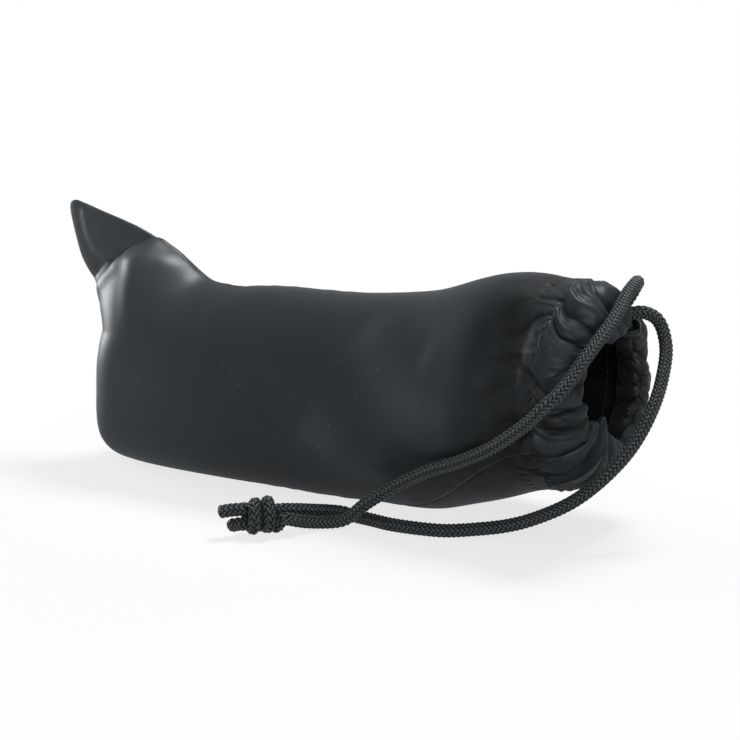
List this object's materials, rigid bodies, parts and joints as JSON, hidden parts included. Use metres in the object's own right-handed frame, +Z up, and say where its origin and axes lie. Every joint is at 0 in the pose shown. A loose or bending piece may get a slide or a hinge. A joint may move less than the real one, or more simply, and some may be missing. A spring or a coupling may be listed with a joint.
{
  "type": "drawstring glasses pouch",
  "caption": "Soft drawstring pouch for glasses, filled and lying on its long edge, with a gathered mouth and a knotted cord.",
  "frame": {"origin": "on the surface the pouch lies on, under the middle of the cloth's own box", "axes": "+X from the closed end to the gathered mouth, +Y from the front panel to the back panel, +Z up"},
  "size_m": [0.1961, 0.0897, 0.0752],
  "materials": {
    "cloth": "fine satin microfibre",
    "cord": "braided, slightly glossy yarn"
  },
  "bodies": {
    "root": {"front_panel": "cloth", "back_panel": "cloth", "drawstring": "cord", "front_strand": "cord", "outer_strand": "cord", "knot": "cord", "upper_tail": "cord", "lower_tail": "cord"}
  },
  "joints": []
}
